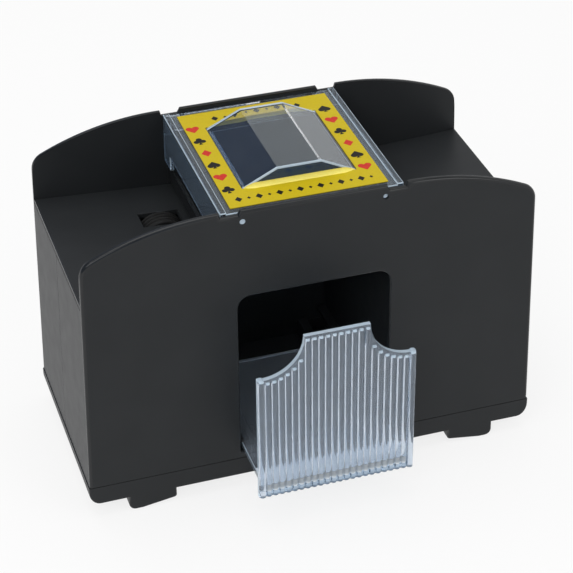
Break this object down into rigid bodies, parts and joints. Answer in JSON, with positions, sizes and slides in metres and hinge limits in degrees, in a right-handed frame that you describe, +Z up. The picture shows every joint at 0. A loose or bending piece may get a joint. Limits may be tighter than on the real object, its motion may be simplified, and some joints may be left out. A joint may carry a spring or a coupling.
{
  "type": "card shuffler",
  "caption": "Card shuffler: end hoppers whose geared feed rollers send cards into a middle chamber over a sliding clear tray, under a hinged clear domed lid.",
  "frame": {"origin": "middle of the body's plan at table height, between the feet", "axes": "+X along the body to the push button's end, +Y to the rear wall, +Z up"},
  "size_m": [0.207, 0.1258, 0.1482],
  "materials": {
    "charcoal_plastic": "fine satin moulded texture",
    "clear_plastic": "clear, polished",
    "label_print": "printed sheet with suit pips",
    "white_nylon": "moulded",
    "black_rubber": "ground",
    "brass": "turned",
    "cell_sleeve": "plain sleeve",
    "red_plastic": "smooth",
    "black_plastic": "moulded",
    "steel": "bright plated"
  },
  "bodies": {
    "housing": {"front_shell": "charcoal_plastic", "rear_shell": "charcoal_plastic", "base_cover": "charcoal_plastic", "left_feed_deck": "charcoal_plastic", "right_feed_deck": "charcoal_plastic", "left_gate": "charcoal_plastic", "right_gate": "charcoal_plastic", "left_bushes": "brass", "right_bushes": "brass", "left_gear_axle": "steel", "right_gear_axle": "steel", "left_motor_can": "steel", "right_motor_can": "steel", "left_motor_cap": "white_nylon", "right_motor_cap": "white_nylon", "left_motor_screws": "steel", "right_motor_screws": "steel", "solder_tabs": "brass", "battery_cells": "cell_sleeve", "battery_contacts": "steel", "power_switch": "black_plastic", "red_leads": "red_plastic", "black_leads": "black_plastic", "shell_screws": "steel", "base_screws": "steel", "left_battery_box": "charcoal_plastic", "right_battery_box": "charcoal_plastic"},
    "lid": {"clear_lid": "clear_plastic", "lid_label": "label_print"},
    "tray": {"card_tray": "clear_plastic"},
    "button": {"push_button": "red_plastic"},
    "left_roller": {"left_roller_shaft": "steel", "left_roller_core": "white_nylon", "left_roller_tyres": "black_rubber", "left_roller_gear": "white_nylon"},
    "left_idler": {"left_compound_gear": "white_nylon"},
    "left_rotor": {"left_motor_shaft": "steel", "left_pinion": "brass"},
    "left_door": {"left_battery_door": "charcoal_plastic"},
    "right_roller": {"right_roller_shaft": "steel", "right_roller_core": "white_nylon", "right_roller_tyres": "black_rubber", "right_roller_gear": "white_nylon"},
    "right_idler": {"right_compound_gear": "white_nylon"},
    "right_rotor": {"right_motor_shaft": "steel", "right_pinion": "brass"},
    "right_door": {"right_battery_door": "charcoal_plastic"}
  },
  "joints": [
    {"name": "lid_hinge", "type": "hinge", "parent": "housing", "child": "lid", "pos_m": [-0.0311, 0, 0.1377], "axis": [0, -1, 0], "range_deg": [0, 100]},
    {"name": "tray_slide", "type": "slide", "parent": "housing", "child": "tray", "axis": [0, -1, 0], "range_m": [-0.027, 0.045]},
    {"name": "button_press", "type": "slide", "parent": "housing", "child": "button", "axis": [-1, 0, 0], "range_m": [0, 0.0025], "stiffness_N_per_m": 300},
    {"name": "left_roller_spin", "type": "hinge", "parent": "housing", "child": "left_roller", "pos_m": [-0.05, 0, 0.09612], "axis": [0, 1, 0], "continuous": true},
    {"name": "left_idler_spin", "type": "hinge", "parent": "housing", "child": "left_idler", "pos_m": [-0.05771, 0, 0.08693], "axis": [0, 1, 0], "continuous": true},
    {"name": "left_rotor_spin", "type": "hinge", "parent": "housing", "child": "left_rotor", "pos_m": [-0.06483, 0, 0.06738], "axis": [0, 1, 0], "continuous": true},
    {"name": "left_door_hinge", "type": "hinge", "parent": "housing", "child": "left_door", "pos_m": [-0.0419, 0, 0.008], "axis": [0, -1, 0], "range_deg": [0, 60]},
    {"name": "right_roller_spin", "type": "hinge", "parent": "housing", "child": "right_roller", "pos_m": [0.05, 0, 0.09612], "axis": [0, 1, 0], "continuous": true},
    {"name": "right_idler_spin", "type": "hinge", "parent": "housing", "child": "right_idler", "pos_m": [0.05771, 0, 0.08693], "axis": [0, 1, 0], "continuous": true},
    {"name": "right_rotor_spin", "type": "hinge", "parent": "housing", "child": "right_rotor", "pos_m": [0.06483, 0, 0.06738], "axis": [0, 1, 0], "continuous": true},
    {"name": "right_door_hinge", "type": "hinge", "parent": "housing", "child": "right_door", "pos_m": [0.0419, 0, 0.008], "axis": [0, 1, 0], "range_deg": [0, 60]}
  ],
  "couplings": [
    {"joint": "left_idler_spin", "follows": "left_roller_spin", "ratio": -1.1429},
    {"joint": "left_rotor_spin", "follows": "left_roller_spin", "ratio": 3.8095},
    {"joint": "right_idler_spin", "follows": "right_roller_spin", "ratio": -1.1429},
    {"joint": "right_rotor_spin", "follows": "right_roller_spin", "ratio": 3.8095}
  ]
}
